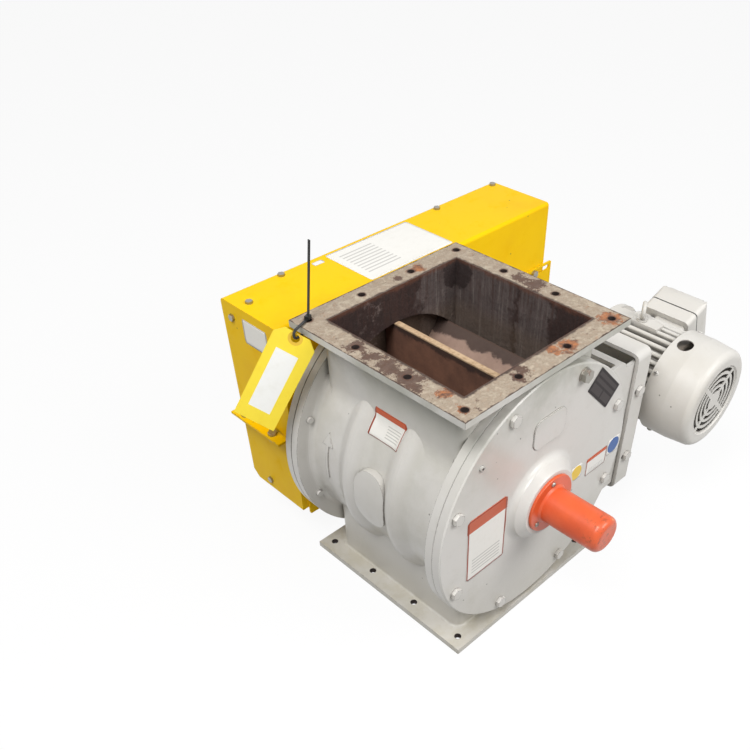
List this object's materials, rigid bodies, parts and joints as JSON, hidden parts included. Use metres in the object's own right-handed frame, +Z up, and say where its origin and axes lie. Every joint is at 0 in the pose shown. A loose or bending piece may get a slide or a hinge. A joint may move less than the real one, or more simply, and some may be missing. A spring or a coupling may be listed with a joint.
{
  "type": "rotary airlock valve",
  "caption": "Square-flanged rotary airlock valve whose vaned rotor is turned by a side-mounted gearmotor through a guarded roller chain.",
  "frame": {"origin": "centre of the outlet flange's underside", "axes": "+Z up through the outlet and inlet, Y along the rotor shaft with the chain drive at +Y, +X towards the gearmotor"},
  "size_m": [0.8041, 0.605, 0.5489],
  "materials": {
    "cast_paint": "light grey paint over cast iron, worn",
    "bolt_paint": "painted over steel",
    "bare_steel": "zinc plated, dull",
    "worn_bolt": "rusty steel",
    "seal_rubber": "black",
    "gasket_rubber": "black",
    "bearing_steel": "ground",
    "cage_brass": "pressed brass",
    "spring_steel": "phosphated",
    "cover_plastic": "orange, slightly glossy",
    "nameplate_metal": "dark, blank",
    "shaft_steel": "turned",
    "rotor_iron": "machined, worn and lightly rusted",
    "sprocket_steel": "oiled",
    "chain_steel": "oiled",
    "guard_paint": "gloss safety yellow",
    "bracket_paint": "light grey paint",
    "motor_paint": "off-white paint over cast aluminium",
    "fan_cover_paint": "off-white paint over pressed steel",
    "stator_steel": "varnished laminations",
    "fan_plastic": "black",
    "tag_plastic": "yellow card",
    "tie_plastic": "black nylon"
  },
  "bodies": {
    "valve": {"housing": "cast_paint", "end_plate_outboard": "cast_paint", "end_plate_drive": "cast_paint", "end_plate_bolts": "bolt_paint", "replaced_bolt": "bare_steel", "jacking_screws": "bolt_paint", "shaft_seal_outboard": "seal_rubber", "shaft_seal_drive": "seal_rubber", "bearing_outer_outboard": "bearing_steel", "bearing_outer_drive": "bearing_steel", "retaining_rings": "spring_steel", "shaft_cover": "cover_plastic", "shaft_cover_screws": "bare_steel", "nameplate": "nameplate_metal", "drive_chain": "chain_steel", "output_seal": "seal_rubber", "guard_back_plate": "guard_paint", "guard_back_screws": "bare_steel", "guard_upper": "guard_paint", "guard_lower": "guard_paint", "guard_lip_bolts": "bare_steel", "guard_screws": "bare_steel", "guard_clamp_bolt": "bare_steel", "bracket_inner": "bracket_paint", "bracket_outer": "bracket_paint", "bracket_wall_bolts": "bare_steel", "bracket_adjust_bolts": "bolt_paint", "gear_case": "motor_paint", "gear_case_cover": "motor_paint", "gear_case_bolts": "bolt_paint", "foot_bolts": "bare_steel", "motor_adapter": "motor_paint", "motor_bolts": "worn_bolt", "motor_frame": "motor_paint", "motor_stator": "stator_steel", "motor_end_bell": "motor_paint", "fan_cover": "fan_cover_paint", "fan_cover_screws": "bolt_paint", "conduit_box": "motor_paint", "conduit_gasket": "gasket_rubber", "conduit_lid": "motor_paint", "conduit_lid_screws": "bolt_paint", "lifting_eye": "bolt_paint", "identification_tag": "tag_plastic", "cable_tie": "tie_plastic"},
    "ball_sets": {"bearing_balls": "bearing_steel", "bearing_cages": "cage_brass"},
    "rotor": {"rotor_shaft": "shaft_steel", "rotor_hub": "rotor_iron", "rotor_vanes": "rotor_iron", "bearing_inner_outboard": "bearing_steel", "bearing_inner_drive": "bearing_steel", "driven_sprocket": "sprocket_steel", "driven_key": "shaft_steel"},
    "output": {"drive_sprocket": "sprocket_steel", "drive_key": "shaft_steel", "output_shaft": "shaft_steel"},
    "motor_rotor": {"motor_shaft": "shaft_steel", "motor_rotor_core": "stator_steel", "cooling_fan": "fan_plastic"}
  },
  "joints": [
    {"name": "rotor_spin", "type": "hinge", "parent": "valve", "child": "rotor", "pos_m": [0, 0, 0.22], "axis": [0, 1, 0], "continuous": true, "deforming": ["drive_chain"]},
    {"name": "output_spin", "type": "hinge", "parent": "valve", "child": "output", "pos_m": [0.3439, 0.2, 0.22], "axis": [0, 1, 0], "continuous": true},
    {"name": "motor_spin", "type": "hinge", "parent": "valve", "child": "motor_rotor", "pos_m": [0.3839, -0.08, 0.22], "axis": [0, 1, 0], "continuous": true},
    {"name": "ball_set_orbit", "type": "hinge", "parent": "valve", "child": "ball_sets", "pos_m": [0, 0, 0.22], "axis": [0, 1, 0], "continuous": true}
  ],
  "couplings": [
    {"joint": "output_spin", "follows": "rotor_spin", "ratio": 2.5},
    {"joint": "motor_spin", "follows": "rotor_spin", "ratio": 30},
    {"joint": "ball_set_orbit", "follows": "rotor_spin", "ratio": 0.4072}
  ]
}
